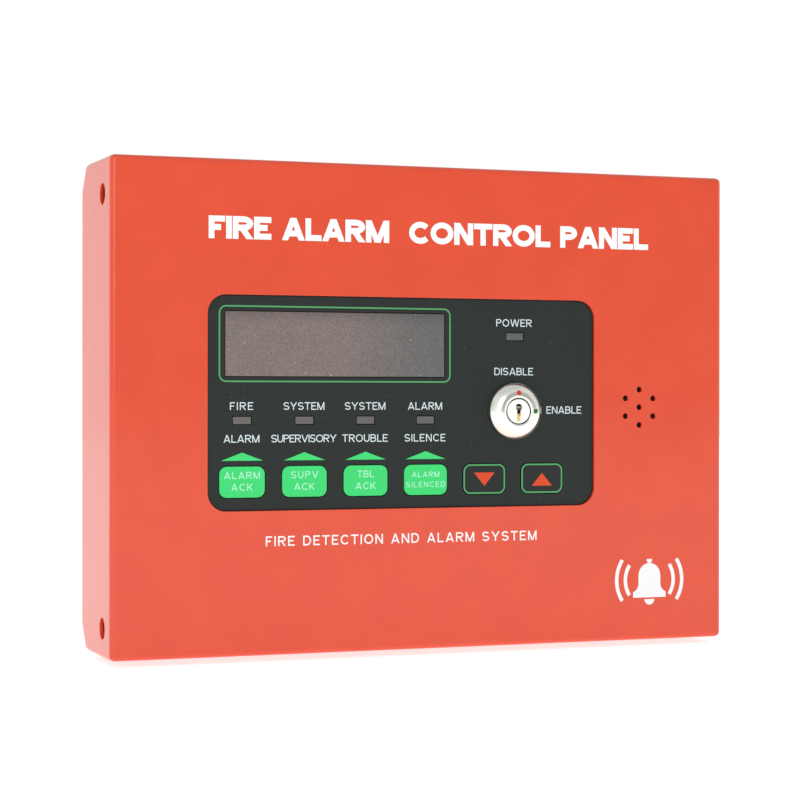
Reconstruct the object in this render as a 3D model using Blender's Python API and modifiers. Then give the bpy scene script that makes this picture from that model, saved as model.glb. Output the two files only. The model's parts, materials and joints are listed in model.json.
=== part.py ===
"""A wall-mounted fire alarm annunciator panel: a folded steel cover over a folded steel wall box.

The cover carries a keypad plate with its graphic overlay, six keys, five rectangular lamps, a display and a
key switch, a circuit board behind them, and a sounder beside them.

Sizes are in millimetres and are turned into metres where a mesh is placed. +X is to the right of someone
who faces the panel, +Y goes into the wall and +Z is up. The origin is the middle of the face that lies on
the wall. A depth counts back from the cover's front face, so depth 0 is that face.
"""

import math

import bmesh
import bpy
from mathutils import Matrix, Vector

MM = 0.001

# Overall sizes
PANEL_WIDTH = 250.0
PANEL_HEIGHT = 184.0
PANEL_DEPTH = 46.0

# Clearances
GAP = 0.3
COVER_SLIP = 0.4
WALL_GAP = 0.5
KEY_CLEARANCE = 0.3

# Folded steel
COVER_SHEET = 1.5
BOX_SHEET = 1.2
BEND_RADIUS = 2.0
BEND_STEPS = 3
BOX_SETBACK = 7.0
CORNER_CUT_DEPTH = 10.5
CORNER_CUT_HEIGHT = 7.5
CORNER_CUT_REACH = 8.0

# Holes in the side flanges, of the cover and of the box behind it
SIDE_HOLE_RADIUS = 4.0
SIDE_HOLE_DEPTH = 12.7
SIDE_HOLE_FROM_TOP = 13.6
SIDE_HOLE_FROM_BOTTOM = 11.0
BOX_LOWER_HOLE_RISE = 5.5

# Window in the cover, and the overlay in it
WINDOW_X = -10.0
WINDOW_Z = 1.8
WINDOW_WIDTH = 157.0
WINDOW_HEIGHT = 80.0
WINDOW_RADIUS = 7.0
OVERLAY_DEPTH = 1.0
OVERLAY_THICKNESS = 0.5

# Keypad plate behind the window
PLATE_MARGIN_X = 8.0
PLATE_MARGIN_Z = 7.0
PLATE_THICKNESS = 3.0
PLATE_RADIUS = 4.0
STUD_RADIUS = 1.5
STUD_END = 9.0
STUD_INSET = 4.2
STUD_RISE = 30.0
NUT_ACROSS = 5.5
NUT_THICKNESS = 2.4

# Keys and lamps stand in columns, measured from the window's left edge and its middle
FIRST_COLUMN = 13.4
COLUMN_PITCH = 24.3
KEY_DROP = 29.3
KEY_WIDTH = 17.5
KEY_HEIGHT = 11.5
KEY_RADIUS = 2.8
KEY_PROUD = 0.2
KEY_TRAVEL = 0.4
ACTUATOR_WIDTH = 12.0
ACTUATOR_HEIGHT = 6.5
LAMP_DROP = 6.5
LAMP_WIDTH = 7.0
LAMP_HEIGHT = 2.8
LAMP_COLLAR = 0.8
POWER_LAMP_RISE = 25.6
POWER_LAMP_FROM_DISPLAY = 29.4

# Display, measured from the window's left and top edges
DISPLAY_FROM_LEFT = 7.0
DISPLAY_FROM_TOP = 6.1
LENS_WIDTH = 87.0
LENS_HEIGHT = 24.0
LENS_SINK = 0.1
LENS_LIP = 1.5
LENS_LIP_THICKNESS = 1.0
DISPLAY_FRAME_RIM = 2.5
DISPLAY_FRAME_WALL = 0.8
DISPLAY_FRAME_LENGTH = 5.8
GLASS_THICKNESS = 2.2
BACKLIGHT_THICKNESS = 2.0
DISPLAY_BOARD_RIM = 0.5

# Circuit board
BOARD_THICKNESS = 1.6
BOARD_DEPTH = 17.0
BOARD_INSET_X = 0.5
BOARD_RISE_TOP = 6.4
BOARD_RISE_BOTTOM = 4.8
BOSS_RADIUS = 3.2
BOSS_INSET = 3.9
BOARD_SCREW_RADIUS = 1.0
BOARD_SCREW_HEAD_RADIUS = 2.4
BOARD_SCREW_HEAD_HEIGHT = 1.6
BOARD_SCREW_LENGTH = 8.0
TACT_SIDE = 6.0
TACT_HEIGHT = 3.5
TACT_BORE_DEPTH = 2.4
STEM_RADIUS = 1.75
STEM_ENTRY = 1.4

# Key switch
LOCK_FROM_DISPLAY = 29.1
LOCK_DROP = 3.2
BARREL_RADIUS = 9.5
BEZEL_LIP = 1.5
BEZEL_RISE = 5.0
BEZEL_FALL = 3.1
BEZEL_FALL_POWER = 2.5
BARREL_PAST_BOARD = 1.4
PLUG_RADIUS = 4.8
PLUG_SINK = 0.3
BORE_CHAMFER = 0.5
PLUG_CHAMFER = 0.3
KEYWAY_TOP = 2.4
KEYWAY_BOTTOM = -4.0
KEYWAY_WIDTH = 1.5
KEYWAY_HEAD_WIDTH = 2.8
KEYWAY_HEAD_HEIGHT = 1.5
KEYWAY_LENGTH = 14.0
TANG_WIDTH = 2.4
TANG_HEIGHT = 6.0
TANG_LENGTH = 4.5
LOCK_WASHER_THICKNESS = 1.0
LOCK_WASHER_RIM = 2.8
LOCK_NUT_WALL = 2.0
LOCK_NUT_THICKNESS = 3.0
SWITCH_WALL = 3.6
SWITCH_LENGTH = 13.0
SWITCH_FLOOR = 2.4
ROTOR_RADIUS = 6.6
LUG_WIDTH = 4.8
LUG_THICKNESS = 0.8
LUG_LENGTH = 5.0
LUG_SPACING = 9.0

# Sounder, measured from the window's right edge and its middle
SOUNDER_FROM_WINDOW = 19.8
SOUNDER_DROP = 1.7
SOUND_HOLE_RADIUS = 1.15
SOUND_HOLE_PITCH = 7.0
SOUNDER_RIM = 3.0
SOUNDER_HEIGHT = 9.0
SOUNDER_RECESS = 1.0
SOUNDER_STEP = 0.5
SOUNDER_CHAMFER = 1.0

# Fixings of the cover, and the wall box's holes, measured from the panel's outside
COVER_SCREW_FROM_SIDE = 45.0
COVER_SCREW_DEPTH = 26.0
COVER_SCREW_RADIUS = 1.5
COVER_SCREW_HEAD_RADIUS = 3.4
COVER_SCREW_HEAD_HEIGHT = 1.6
COVER_SCREW_LENGTH = 8.0
SCREW_HEAD_TOP = 0.7
SCREW_HEAD_EDGE = 0.4
HANGING_HOLE_FROM_SIDE = 30.0
KEYHOLE_FROM_TOP = 26.0
KEYHOLE_RADIUS = 4.5
KEYHOLE_SLOT_RADIUS = 2.3
KEYHOLE_SLOT_LENGTH = 9.0
ROUND_END = 0.98
LOWER_HOLE_FROM_BOTTOM = 22.0
LOWER_HOLE_RADIUS = 2.5
CABLE_FROM_TOP = 26.0
CABLE_HOLE_RADIUS = 12.5
GROMMET_BORE_RADIUS = 7.0
GROMMET_FLANGE_RIM = 2.5
GROMMET_FLANGE_THICKNESS = 2.4
GROMMET_CHAMFER = 0.8

# Parts on the back of the circuit board, measured from its left edge or its middle
TERMINAL_WAYS = 6
TERMINAL_PITCH = 5.08
TERMINAL_HEIGHT = 11.0
TERMINAL_LENGTH = 10.0
TERMINAL_ENTRY = 3.2
TERMINAL_SCREW_RADIUS = 1.6
TERMINAL_SPACING = 35.0
TERMINAL_FROM_LEFT = 28.0
TERMINAL_FROM_BOTTOM = 1.0
CHIP_SIDE = 14.0
CHIP_THICKNESS = 1.6
CHIP_FROM_MIDDLE = -10.0
CHIP_RISE = 10.0
CAPACITOR_RADIUS = 5.0
CAPACITOR_HEIGHT = 15.0
CAPACITOR_CHAMFER = 0.8
CAPACITOR_GROOVE_DEPTH = 0.5
CAPACITOR_GROOVE = (1.0, 1.6, 2.2)
CAPACITOR_FROM_MIDDLE = -52.0
CAPACITOR_RISE = 18.0
LEAD_RADIUS = 0.9

# Depths, places and sizes that follow from those above
PLATE_DEPTH = COVER_SHEET + GAP
PLATE_BACK = PLATE_DEPTH + PLATE_THICKNESS
BEHIND_PLATE = PLATE_BACK + GAP
BOARD_BACK = BOARD_DEPTH + BOARD_THICKNESS
BEHIND_BOARD = BOARD_BACK + GAP
BARREL_END = BOARD_BACK + BARREL_PAST_BOARD
PLATE_WIDTH = WINDOW_WIDTH + 2 * PLATE_MARGIN_X
PLATE_HEIGHT = WINDOW_HEIGHT + 2 * PLATE_MARGIN_Z
BOARD_WIDTH = WINDOW_WIDTH - 2 * BOARD_INSET_X
BOARD_TOP = WINDOW_Z + WINDOW_HEIGHT / 2 + BOARD_RISE_TOP
BOARD_BOTTOM = WINDOW_Z - WINDOW_HEIGHT / 2 - BOARD_RISE_BOTTOM
WINDOW_LEFT = WINDOW_X - WINDOW_WIDTH / 2
WINDOW_RIGHT = WINDOW_X + WINDOW_WIDTH / 2
WINDOW_TOP = WINDOW_Z + WINDOW_HEIGHT / 2
BOARD_LEFT = WINDOW_X - BOARD_WIDTH / 2
COLUMN_X = WINDOW_LEFT + FIRST_COLUMN
KEY_Z = WINDOW_Z - KEY_DROP
LAMP_Z = WINDOW_Z - LAMP_DROP
DISPLAY_X = WINDOW_LEFT + DISPLAY_FROM_LEFT + LENS_WIDTH / 2
DISPLAY_Z = WINDOW_TOP - DISPLAY_FROM_TOP - LENS_HEIGHT / 2
LOCK_X = DISPLAY_X + LENS_WIDTH / 2 + LOCK_FROM_DISPLAY
LOCK_Z = WINDOW_Z - LOCK_DROP
POWER_LAMP_X = DISPLAY_X + LENS_WIDTH / 2 + POWER_LAMP_FROM_DISPLAY
POWER_LAMP_Z = WINDOW_Z + POWER_LAMP_RISE
SOUNDER_X = WINDOW_RIGHT + SOUNDER_FROM_WINDOW
SOUNDER_Z = WINDOW_Z - SOUNDER_DROP
HANGING_HOLE_X = PANEL_WIDTH / 2 - HANGING_HOLE_FROM_SIDE
KEYHOLE_Z = PANEL_HEIGHT / 2 - KEYHOLE_FROM_TOP
LOWER_HOLE_Z = LOWER_HOLE_FROM_BOTTOM - PANEL_HEIGHT / 2
CABLE_Z = PANEL_HEIGHT / 2 - CABLE_FROM_TOP
COVER_SCREW_X = PANEL_WIDTH / 2 - COVER_SCREW_FROM_SIDE
BOX_WIDTH = PANEL_WIDTH - 2 * (COVER_SHEET + COVER_SLIP)
BOX_HEIGHT = PANEL_HEIGHT - 2 * (COVER_SHEET + COVER_SLIP)
BARREL_BORE_RADIUS = PLUG_RADIUS + GAP
BEZEL_RADIUS = BARREL_RADIUS + BEZEL_LIP
LOCK_HOLE_RADIUS = BARREL_RADIUS + GAP
SWITCH_FRONT = BARREL_END + GAP
SWITCH_BACK = SWITCH_FRONT + SWITCH_LENGTH
SOUNDER_RADIUS = SOUND_HOLE_PITCH + SOUND_HOLE_RADIUS + SOUNDER_RIM

KEY_NAMES = ("alarm_ack", "supervisory_ack", "trouble_ack", "silence", "down", "up")
LAMP_NAMES = ("fire", "supervisory", "trouble", "silenced")

SHARP_DEGREES = 35.0

# How far a cutter starts outside the sheet, and how far it reaches inside
CUTTER_OUTSIDE = 2.0
CUTTER_INSIDE = 8.0

ROTATIONS = {
    "front": (math.radians(90), 0, 0),
    "back": (math.radians(-90), 0, 0),
    "up": (0, 0, 0),
    "down": (math.radians(180), 0, 0),
}


# ---- Scene, materials and helpers ----


def clear_scene():
    for old in list(bpy.data.objects):
        bpy.data.objects.remove(old)


def new_collection(name):
    collection = bpy.data.collections.new(name)
    bpy.context.scene.collection.children.link(collection)
    return collection


def new_material(name, colour, roughness, metallic=0.0):
    material = bpy.data.materials.new(name)
    material.use_nodes = True
    shader = material.node_tree.nodes["Principled BSDF"]
    shader.inputs["Base Color"].default_value = (*colour, 1.0)
    shader.inputs["Roughness"].default_value = roughness
    shader.inputs["Metallic"].default_value = metallic
    material.diffuse_color = (*colour, 1.0)
    return material


def place(x, depth, z):
    """The world position, in metres, of a point at this depth behind the cover's front face."""
    return Vector((x, depth - PANEL_DEPTH, z)) * MM


def block(x, z, width, height, front, back, radius=0.0, steps=5):
    """A box between two depths, with its four edges that run front to back rounded."""
    shape = bmesh.new()
    bmesh.ops.create_cube(shape, size=1.0)
    size = Matrix.Diagonal((width * MM, (back - front) * MM, height * MM, 1.0))
    middle = Matrix.Translation(place(x, (front + back) / 2, z))
    bmesh.ops.transform(shape, matrix=middle @ size, verts=shape.verts)
    if radius:
        edges = [e for e in shape.edges if runs_along(e, 1)]
        bmesh.ops.bevel(
            shape, geom=edges, offset=radius * MM, segments=steps, profile=0.5, affect="EDGES"
        )
    return shape


def runs_along(edge, axis):
    """Whether an edge is parallel to world axis 0, 1 or 2."""
    span = edge.verts[1].co - edge.verts[0].co
    return abs(span[axis]) > 0.999 * span.length


def rod(start, end, radius, sides=24):
    """A cylinder between two places in (x, depth, z)."""
    first, last = place(*start), place(*end)
    along = last - first
    turn = along.to_track_quat("Z", "Y").to_matrix().to_4x4()
    shape = bmesh.new()
    bmesh.ops.create_cone(
        shape,
        cap_ends=True,
        segments=sides,
        radius1=radius * MM,
        radius2=radius * MM,
        depth=along.length,
        matrix=Matrix.Translation((first + last) / 2) @ turn,
    )
    return shape


def drum(x, z, radius, front, back, sides=24):
    return rod((x, front, z), (x, back, z), radius, sides)


def gather(shapes):
    """Several shapes that don't touch, as one."""
    together = bmesh.new()
    for shape in shapes:
        mesh = bpy.data.meshes.new("gathered")
        shape.to_mesh(mesh)
        shape.free()
        together.from_mesh(mesh)
        bpy.data.meshes.remove(mesh)
    return together


def link(name, shape, collection, origin=(0.0, PANEL_DEPTH, 0.0)):
    """Makes an object of a shape, with its origin at a place given as (x, depth, z)."""
    centre = place(*origin)
    bmesh.ops.translate(shape, vec=-centre, verts=shape.verts)
    bmesh.ops.recalc_face_normals(shape, faces=shape.faces)
    mesh = bpy.data.meshes.new(name)
    shape.to_mesh(mesh)
    shape.free()
    mesh.shade_smooth()
    mesh.set_sharp_from_angle(angle=math.radians(SHARP_DEGREES))
    made = bpy.data.objects.new(name, mesh)
    made.location = centre
    collection.objects.link(made)
    return made


def part(name, shape, material, origin=(0.0, PANEL_DEPTH, 0.0)):
    made = link(name, shape, PARTS, origin)
    made.data.materials.append(material)
    return made


def shape_with(made, operation, shape):
    """Cuts or joins a shape into a part, with a Boolean modifier."""
    tool = link(f"{made.name}_{operation.lower()}", shape, CUTTERS)
    tool.hide_render = True
    tool.display_type = "WIRE"
    modifier = made.modifiers.new(tool.name, "BOOLEAN")
    modifier.operation = operation
    modifier.object = tool
    return made


def cut(made, *shapes):
    return shape_with(made, "DIFFERENCE", gather(shapes))


def join(made, *shapes):
    return shape_with(made, "UNION", gather(shapes))


def turned(name, profile, origin, axis, material, bored=False, steps=32):
    """A solid turned round an axis. The profile's points are (radius, height along the axis from the origin),
    from the top down its outer side. A bored profile closes on itself, and any other ends on the axis."""
    mesh = bpy.data.meshes.new(name)
    points = [(radius * MM, 0.0, height * MM) for radius, height in profile]
    edges = [(i, i + 1) for i in range(len(points) - 1)]
    if bored:
        edges.append((len(points) - 1, 0))
    mesh.from_pydata(points, edges, [])
    mesh.materials.append(material)
    made = bpy.data.objects.new(name, mesh)
    PARTS.objects.link(made)
    made.location = place(*origin)
    made.rotation_euler = ROTATIONS[axis]
    screw = made.modifiers.new("turn", "SCREW")
    screw.axis = "Z"
    screw.angle = math.radians(360)
    screw.steps = steps
    screw.render_steps = steps
    screw.use_merge_vertices = True
    screw.merge_threshold = 0.00001
    return made


def hexagon(x, z, across, front, back):
    return drum(x, z, across / math.sqrt(3), front, back, sides=6)


def column(i):
    return COLUMN_X + i * COLUMN_PITCH


# ---- Cover and wall box ----


def pan(name, width, height, front, back, open_depth, sheet, material):
    """A folded sheet: a box that is open at one depth, with rounded bends, given the sheet's thickness."""
    shape = block(0, 0, width, height, front, back)
    rim = place(0, open_depth, 0).y
    lid = [f for f in shape.faces if all(abs(v.co.y - rim) < 0.01 * MM for v in f.verts)]
    bmesh.ops.delete(shape, geom=lid, context="FACES_ONLY")
    folds = [e for e in shape.edges if not e.is_boundary]
    bmesh.ops.bevel(
        shape, geom=folds, offset=BEND_RADIUS * MM, segments=BEND_STEPS, profile=0.5, affect="EDGES"
    )
    made = part(name, shape, material)
    thicken = made.modifiers.new("sheet", "SOLIDIFY")
    thicken.thickness = sheet * MM
    thicken.offset = -1.0
    thicken.use_even_offset = True
    return made


def corner_cuts():
    """Wedges that take off the rear corners of the side flanges."""
    angle = math.atan2(CORNER_CUT_DEPTH, CORNER_CUT_HEIGHT)
    size = 2 * (CORNER_CUT_DEPTH + CORNER_CUT_HEIGHT)
    wedges = []
    for side in (-1, 1):
        for end in (-1, 1):
            shape = bmesh.new()
            bmesh.ops.create_cube(shape, size=1.0)
            reach = Matrix.Diagonal((CORNER_CUT_REACH * 2 * MM, size * MM, size * MM, 1.0))
            lift = Matrix.Translation((0, 0, size / 2 * MM))
            tilt = Matrix.Rotation(-end * angle, 4, "X")
            flip = Matrix.Diagonal((1, 1, end, 1))
            middle = place(
                side * PANEL_WIDTH / 2,
                PANEL_DEPTH - CORNER_CUT_DEPTH / 2,
                end * (PANEL_HEIGHT - CORNER_CUT_HEIGHT) / 2,
            )
            whole = Matrix.Translation(middle) @ tilt @ flip @ lift @ reach
            bmesh.ops.transform(shape, matrix=whole, verts=shape.verts)
            wedges.append(shape)
    return wedges


def side_holes(lower_rise):
    """Holes through both side flanges, near the front."""
    heights = (
        PANEL_HEIGHT / 2 - SIDE_HOLE_FROM_TOP,
        SIDE_HOLE_FROM_BOTTOM - PANEL_HEIGHT / 2 + lower_rise,
    )
    outside = PANEL_WIDTH / 2 + CUTTER_OUTSIDE
    inside = PANEL_WIDTH / 2 - CUTTER_INSIDE
    return [
        rod((side * inside, SIDE_HOLE_DEPTH, z), (side * outside, SIDE_HOLE_DEPTH, z), SIDE_HOLE_RADIUS)
        for side in (-1, 1)
        for z in heights
    ]


def cover_screw_holes(radius):
    return [
        rod(
            (x, COVER_SCREW_DEPTH, end * (PANEL_HEIGHT / 2 - CUTTER_INSIDE)),
            (x, COVER_SCREW_DEPTH, end * (PANEL_HEIGHT / 2 + CUTTER_OUTSIDE)),
            radius,
            16,
        )
        for x in (-COVER_SCREW_X, COVER_SCREW_X)
        for end in (-1, 1)
    ]


def sound_holes():
    places = [(SOUNDER_X, SOUNDER_Z)]
    for i in range(6):
        angle = math.radians(30 + 60 * i)
        places.append(
            (
                SOUNDER_X + SOUND_HOLE_PITCH * math.cos(angle),
                SOUNDER_Z + SOUND_HOLE_PITCH * math.sin(angle),
            )
        )
    return [drum(x, z, SOUND_HOLE_RADIUS, -1, COVER_SHEET + 1, 12) for x, z in places]


def stud_places():
    across = PLATE_WIDTH / 2 - STUD_INSET
    return [(WINDOW_X + i * across, WINDOW_Z + k * STUD_RISE) for i in (-1, 1) for k in (-1, 1)]


def make_cover():
    back = PANEL_DEPTH - WALL_GAP
    cover = pan("front_cover", PANEL_WIDTH, PANEL_HEIGHT, 0, back, back, COVER_SHEET, RED_PAINT)
    join(cover, *[drum(x, z, STUD_RADIUS, COVER_SHEET / 2, STUD_END, 12) for x, z in stud_places()])
    window = block(
        WINDOW_X, WINDOW_Z, WINDOW_WIDTH, WINDOW_HEIGHT, -1, COVER_SHEET + 1, WINDOW_RADIUS, 8
    )
    cut(cover, window, *sound_holes())
    cut(cover, *corner_cuts())
    cut(cover, *side_holes(0.0), *cover_screw_holes(COVER_SCREW_RADIUS + 2 * GAP))


def keyholes():
    """Hanging holes: a round one for a screw's head, with a slot above it for the shank."""
    front, back = PANEL_DEPTH - BOX_SHEET - 1, PANEL_DEPTH + 1
    heads = [drum(x, KEYHOLE_Z, KEYHOLE_RADIUS, front, back) for x in (-HANGING_HOLE_X, HANGING_HOLE_X)]
    slots = [
        block(
            x,
            KEYHOLE_Z + KEYHOLE_SLOT_LENGTH / 2,
            2 * KEYHOLE_SLOT_RADIUS,
            KEYHOLE_SLOT_LENGTH + 2 * KEYHOLE_SLOT_RADIUS,
            front,
            back,
            KEYHOLE_SLOT_RADIUS * ROUND_END,
        )
        for x in (-HANGING_HOLE_X, HANGING_HOLE_X)
    ]
    return heads, slots


def make_box():
    box = pan(
        "wall_box", BOX_WIDTH, BOX_HEIGHT, BOX_SETBACK, PANEL_DEPTH, BOX_SETBACK, BOX_SHEET, RED_PAINT
    )
    front, back = PANEL_DEPTH - BOX_SHEET - 1, PANEL_DEPTH + 1
    heads, slots = keyholes()
    lower = [drum(x, LOWER_HOLE_Z, LOWER_HOLE_RADIUS, front, back) for x in (-HANGING_HOLE_X, HANGING_HOLE_X)]
    cut(box, *heads, *lower, drum(0, CABLE_Z, CABLE_HOLE_RADIUS, front, back, 32))
    cut(box, *slots)
    cut(box, *corner_cuts())
    cut(box, *side_holes(BOX_LOWER_HOLE_RISE), *cover_screw_holes(COVER_SCREW_RADIUS + GAP))


def make_grommet():
    """A rubber bush whose flange lies inside the box, so that nothing stands out towards the wall."""
    inner = BOX_SHEET + GAP
    flange = inner + GROMMET_FLANGE_THICKNESS
    sleeve = CABLE_HOLE_RADIUS - GAP
    rim = CABLE_HOLE_RADIUS + GROMMET_FLANGE_RIM
    profile = [
        (GROMMET_BORE_RADIUS, flange),
        (rim - GROMMET_CHAMFER, flange),
        (rim, flange - GROMMET_CHAMFER),
        (rim, inner),
        (sleeve, inner),
        (sleeve, GAP),
        (GROMMET_BORE_RADIUS, GAP),
    ]
    turned("cable_grommet", profile, (0, PANEL_DEPTH, CABLE_Z), "front", RUBBER, bored=True)


def make_cover_screws():
    head = GAP + COVER_SCREW_HEAD_HEIGHT
    profile = [
        (0, head),
        (COVER_SCREW_HEAD_RADIUS * SCREW_HEAD_TOP, head),
        (COVER_SCREW_HEAD_RADIUS, GAP + COVER_SCREW_HEAD_HEIGHT * SCREW_HEAD_EDGE),
        (COVER_SCREW_HEAD_RADIUS, GAP),
        (COVER_SCREW_RADIUS, GAP),
        (COVER_SCREW_RADIUS, -COVER_SCREW_LENGTH),
        (0, -COVER_SCREW_LENGTH),
    ]
    for end, axis in ((1, "up"), (-1, "down")):
        for side, word in ((-1, "left"), (1, "right")):
            name = f"cover_screw_{'top' if end > 0 else 'bottom'}_{word}"
            origin = (side * COVER_SCREW_X, COVER_SCREW_DEPTH, end * PANEL_HEIGHT / 2)
            turned(name, profile, origin, axis, ZINC, steps=16)


# ---- Keypad ----


def key_openings(width, height, radius, front, back):
    return [
        block(column(i), KEY_Z, width, height, front, back, radius) for i in range(len(KEY_NAMES))
    ]


def lamp_places():
    columns = [(name, column(i), LAMP_Z) for i, name in enumerate(LAMP_NAMES)]
    return columns + [("power", POWER_LAMP_X, POWER_LAMP_Z)]


def lamp_openings(front, back):
    width, height = LAMP_WIDTH + 2 * GAP, LAMP_HEIGHT + 2 * GAP
    return [block(x, z, width, height, front, back) for _, x, z in lamp_places()]


def lens_opening(front, back):
    width, height = LENS_WIDTH + 2 * GAP, LENS_HEIGHT + 2 * GAP
    return block(DISPLAY_X, DISPLAY_Z, width, height, front, back)


def make_overlay():
    back = OVERLAY_DEPTH + OVERLAY_THICKNESS
    overlay = part(
        "keypad_overlay",
        block(
            WINDOW_X,
            WINDOW_Z,
            WINDOW_WIDTH - 2 * GAP,
            WINDOW_HEIGHT - 2 * GAP,
            OVERLAY_DEPTH,
            back,
            WINDOW_RADIUS - GAP,
            8,
        ),
        BLACK_FILM,
    )
    front, behind = OVERLAY_DEPTH - 1, back + 1
    wide, tall = KEY_WIDTH + 2 * KEY_CLEARANCE, KEY_HEIGHT + 2 * KEY_CLEARANCE
    keys = key_openings(wide, tall, KEY_RADIUS + KEY_CLEARANCE, front, behind)
    lock = drum(LOCK_X, LOCK_Z, LOCK_HOLE_RADIUS, front, behind)
    cut(overlay, *keys, *lamp_openings(front, behind), lens_opening(front, behind), lock)


def boss_places():
    across = BOARD_WIDTH / 2 - BOSS_INSET
    return [
        (WINDOW_X + side * across, z)
        for side in (-1, 1)
        for z in (BOARD_BOTTOM + BOSS_INSET, BOARD_TOP - BOSS_INSET)
    ]


def make_plate():
    plate = part(
        "keypad_plate",
        block(
            WINDOW_X, WINDOW_Z, PLATE_WIDTH, PLATE_HEIGHT, PLATE_DEPTH, PLATE_BACK, PLATE_RADIUS, 4
        ),
        BLACK_PLASTIC,
    )
    boss_end = BOARD_DEPTH - GAP
    join(plate, *[drum(x, z, BOSS_RADIUS, PLATE_BACK - 1, boss_end, 16) for x, z in boss_places()])
    front, behind = PLATE_DEPTH - 1, PLATE_BACK + 1
    slack = 2 * KEY_CLEARANCE
    keys = key_openings(
        KEY_WIDTH + 2 * slack, KEY_HEIGHT + 2 * slack, KEY_RADIUS + slack, front, behind
    )
    lock = drum(LOCK_X, LOCK_Z, LOCK_HOLE_RADIUS, front, behind)
    cut(plate, *keys, *lamp_openings(front, behind), lens_opening(front, behind), lock)
    studs = [drum(x, z, STUD_RADIUS + GAP, front, behind, 12) for x, z in stud_places()]
    pilot_end = BOARD_DEPTH - BOARD_SCREW_LENGTH - 1
    pilots = [
        drum(x, z, BOARD_SCREW_RADIUS + GAP, pilot_end, boss_end + 1, 12) for x, z in boss_places()
    ]
    cut(plate, *studs, *pilots)


def make_plate_nuts():
    for i, (x, z) in enumerate(stud_places()):
        front = BEHIND_PLATE
        back = front + NUT_THICKNESS
        nut = part(f"plate_nut_{i + 1}", hexagon(x, z, NUT_ACROSS, front, back), ZINC)
        cut(nut, drum(x, z, STUD_RADIUS + GAP, front - 1, back + 1, 12))


def make_keys():
    """Each key is a pad in the overlay with an actuator behind it, over a push switch on the board."""
    pad_front = OVERLAY_DEPTH - KEY_PROUD
    pad_back = OVERLAY_DEPTH + OVERLAY_THICKNESS
    actuator_back = PLATE_BACK + 2 * KEY_TRAVEL
    switch_front = BOARD_DEPTH - GAP - TACT_HEIGHT
    for i, name in enumerate(KEY_NAMES):
        x = column(i)
        paint = GREEN_PRINT if i < len(LAMP_NAMES) else BLACK_FILM
        pad = block(x, KEY_Z, KEY_WIDTH, KEY_HEIGHT, pad_front, pad_back, KEY_RADIUS)
        key = part(f"{name}_key", pad, paint, (x, pad_front, KEY_Z))
        join(
            key,
            block(x, KEY_Z, ACTUATOR_WIDTH, ACTUATOR_HEIGHT, pad_back - 0.2, actuator_back, 1.0, 3),
        )
        body = block(x, KEY_Z, TACT_SIDE, TACT_SIDE, switch_front, BOARD_DEPTH - GAP)
        switch = part(f"{name}_switch", body, BLACK_PLASTIC)
        bore_end = switch_front + TACT_BORE_DEPTH
        cut(switch, drum(x, KEY_Z, STEM_RADIUS + GAP, switch_front - 1, bore_end, 16))
        stem_end = switch_front + STEM_ENTRY
        stem_front = actuator_back + GAP
        stem = drum(x, KEY_Z, STEM_RADIUS, stem_front, stem_end, 16)
        part(f"{name}_stem", stem, BLACK_PLASTIC, (x, stem_front, KEY_Z))


def make_lamps():
    """Rectangular lamps that stand on the board and show in the overlay."""
    front, end = OVERLAY_DEPTH + LENS_SINK, BOARD_DEPTH - GAP
    for name, x, z in lamp_places():
        lamp = part(f"{name}_lamp", block(x, z, LAMP_WIDTH, LAMP_HEIGHT, front, end), LAMP_GREY)
        width, height = LAMP_WIDTH + 2 * LAMP_COLLAR, LAMP_HEIGHT + 2 * LAMP_COLLAR
        join(lamp, block(x, z, width, height, BEHIND_PLATE + GAP, end - 1))


# ---- Display ----


def display_block(rim, front, thickness, radius=0.0):
    width, height = LENS_WIDTH + 2 * rim, LENS_HEIGHT + 2 * rim
    return block(DISPLAY_X, DISPLAY_Z, width, height, front, front + thickness, radius, 3)


def make_display():
    lens_front = OVERLAY_DEPTH + LENS_SINK
    lens = part("display_lens", display_block(0, lens_front, BEHIND_PLATE - lens_front + 0.5), LENS)
    join(lens, display_block(LENS_LIP, BEHIND_PLATE, LENS_LIP_THICKNESS))

    frame_front = BEHIND_PLATE + LENS_LIP_THICKNESS + GAP
    rim = LENS_LIP + DISPLAY_FRAME_RIM
    frame = part(
        "display_frame", display_block(rim, frame_front, DISPLAY_FRAME_LENGTH, 1.0), BLACK_METAL
    )
    cut(frame, display_block(0.5, frame_front - 1, 3))
    cavity = rim - DISPLAY_FRAME_WALL
    cavity_front = frame_front + DISPLAY_FRAME_WALL
    cut(frame, display_block(cavity, cavity_front, DISPLAY_FRAME_LENGTH))

    inner = cavity - GAP
    glass_front = cavity_front + GAP
    part("display_glass", display_block(inner, glass_front, GLASS_THICKNESS), LENS)
    backlight_front = glass_front + GLASS_THICKNESS + GAP
    backlight = display_block(inner, backlight_front, BACKLIGHT_THICKNESS)
    part("display_backlight", backlight, WHITE_PLASTIC)
    board_front = frame_front + DISPLAY_FRAME_LENGTH + GAP
    board = display_block(rim + DISPLAY_BOARD_RIM, board_front, BOARD_THICKNESS)
    part("display_board", board, BOARD_GREEN)


# ---- Circuit board ----


def make_board():
    middle = (BOARD_TOP + BOARD_BOTTOM) / 2
    board = part(
        "main_board",
        block(
            WINDOW_X, middle, BOARD_WIDTH, BOARD_TOP - BOARD_BOTTOM, BOARD_DEPTH, BOARD_BACK, 2.0, 3
        ),
        BOARD_GREEN,
    )
    front, behind = BOARD_DEPTH - 1, BOARD_BACK + 1
    screws = [drum(x, z, BOARD_SCREW_RADIUS + 2 * GAP, front, behind, 12) for x, z in boss_places()]
    cut(board, drum(LOCK_X, LOCK_Z, BARREL_RADIUS + 2, front, behind), *screws)


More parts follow.
